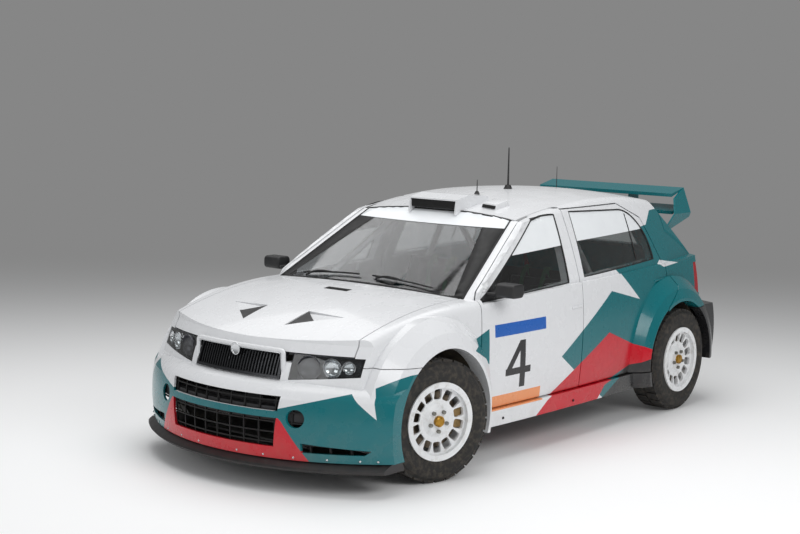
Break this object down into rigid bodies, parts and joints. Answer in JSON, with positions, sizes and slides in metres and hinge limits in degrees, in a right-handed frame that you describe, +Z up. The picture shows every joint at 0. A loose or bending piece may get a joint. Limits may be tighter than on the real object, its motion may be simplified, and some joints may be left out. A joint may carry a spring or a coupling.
{
  "type": "rally car",
  "caption": "five-door rally hatchback with flared arches, opening doors, hood and tailgate, steered front wheels, roof scoop, rear wing and a caged cabin",
  "frame": {"origin": "on the ground, under the middle of the car's length and width", "axes": "+X to the front of the car, +Y to its left, +Z up"},
  "size_m": [4.0016, 1.8892, 1.6598],
  "materials": {
    "body_white": "white gloss paint",
    "door_paint": "white doors with teal, red and grey bands",
    "bumper_paint": "painted bumper skin",
    "wing_paint": "teal painted wing",
    "black_plastic": "dark moulded plastic",
    "glass": "tinted window glass",
    "lamp_glass": "clear lamp covers",
    "tail_lamp": "red lamp covers",
    "underbody": "dark underbody",
    "engine": "bare block",
    "steel": "bare steel",
    "seat": "black seat cloth",
    "cage": "pale painted tube",
    "guard": "plain plate",
    "tyre": "dusty black rubber",
    "wheel_paint": "white wheel paint",
    "grille": "dark slats in a pale border"
  },
  "bodies": {
    "root": {"floor_pan": "underbody", "side_frame_left": "body_white", "side_frame_right": "body_white", "front_fender_left": "body_white", "front_fender_right": "body_white", "front_bumper": "bumper_paint", "intake_grille": "black_plastic", "front_splitter": "black_plastic", "front_lamps": "lamp_glass", "rear_bumper": "black_plastic", "tail_lamps": "tail_lamp", "windscreen": "glass", "roof_panel": "body_white", "roof_scoop": "body_white", "engine_block": "engine", "front_axle": "steel", "rear_axle": "steel", "seats": "seat", "roll_cage": "cage", "dashboard": "black_plastic", "aerials": "black_plastic", "exhaust": "steel", "sump_guard": "guard", "wipers": "black_plastic"},
    "knuckle_left": {"knuckle_left": "steel"},
    "wheel_front_left": {"tyre_front_left": "tyre", "rim_front_left": "wheel_paint"},
    "wheel_rear_left": {"tyre_rear_left": "tyre", "rim_rear_left": "wheel_paint"},
    "front_door_left": {"front_door_left": "door_paint", "front_door_glass_left": "glass", "mirror_left": "black_plastic"},
    "rear_door_left": {"rear_door_left": "door_paint", "rear_door_glass_left": "glass"},
    "knuckle_right": {"knuckle_right": "steel"},
    "wheel_front_right": {"tyre_front_right": "tyre", "rim_front_right": "wheel_paint"},
    "wheel_rear_right": {"tyre_rear_right": "tyre", "rim_rear_right": "wheel_paint"},
    "front_door_right": {"front_door_right": "door_paint", "front_door_glass_right": "glass", "mirror_right": "black_plastic"},
    "rear_door_right": {"rear_door_right": "door_paint", "rear_door_glass_right": "glass"},
    "hood": {"hood": "body_white", "grille": "grille"},
    "tailgate": {"tailgate": "body_white", "rear_glass": "glass", "rear_wing": "wing_paint"}
  },
  "joints": [
    {"name": "steer_left", "type": "hinge", "parent": "root", "child": "knuckle_left", "pos_m": [1.171, 0.7175, 0.325], "axis": [0, 0, 1], "range_deg": [-18, 48]},
    {"name": "roll_front_left", "type": "hinge", "parent": "knuckle_left", "child": "wheel_front_left", "pos_m": [1.18653, 0.77546, 0.325], "axis": [0.2588, 0.9659, 0], "continuous": true},
    {"name": "roll_rear_left", "type": "hinge", "parent": "root", "child": "wheel_rear_left", "pos_m": [-1.291, 0.7775, 0.325], "axis": [0, 1, 0], "continuous": true},
    {"name": "open_front_left", "type": "hinge", "parent": "root", "child": "front_door_left", "pos_m": [0.759, 0.795, 0.6], "axis": [0, 0, -1], "range_deg": [0, 65]},
    {"name": "open_rear_left", "type": "hinge", "parent": "root", "child": "rear_door_left", "pos_m": [-0.224, 0.8165, 0.6], "axis": [0, 0, -1], "range_deg": [0, 65]},
    {"name": "steer_right", "type": "hinge", "parent": "root", "child": "knuckle_right", "pos_m": [1.171, -0.7175, 0.325], "axis": [0, 0, 1], "range_deg": [-18, 48]},
    {"name": "roll_front_right", "type": "hinge", "parent": "knuckle_right", "child": "wheel_front_right", "pos_m": [1.15547, -0.77546, 0.325], "axis": [0.2588, 0.9659, 0], "continuous": true},
    {"name": "roll_rear_right", "type": "hinge", "parent": "root", "child": "wheel_rear_right", "pos_m": [-1.291, -0.7775, 0.325], "axis": [0, 1, 0], "continuous": true},
    {"name": "open_front_right", "type": "hinge", "parent": "root", "child": "front_door_right", "pos_m": [0.759, -0.795, 0.6], "axis": [0, 0, 1], "range_deg": [0, 65]},
    {"name": "open_rear_right", "type": "hinge", "parent": "root", "child": "rear_door_right", "pos_m": [-0.224, -0.8165, 0.6], "axis": [0, 0, 1], "range_deg": [0, 65]},
    {"name": "open_hood", "type": "hinge", "parent": "root", "child": "hood", "pos_m": [0.85, 0, 0.922], "axis": [0, -1, 0], "range_deg": [0, 55]},
    {"name": "open_tailgate", "type": "hinge", "parent": "root", "child": "tailgate", "pos_m": [-1.466, 0, 1.334], "axis": [0, 1, 0], "range_deg": [0, 70]}
  ],
  "couplings": [
    {"joint": "steer_right", "follows": "steer_left", "ratio": 1}
  ]
}
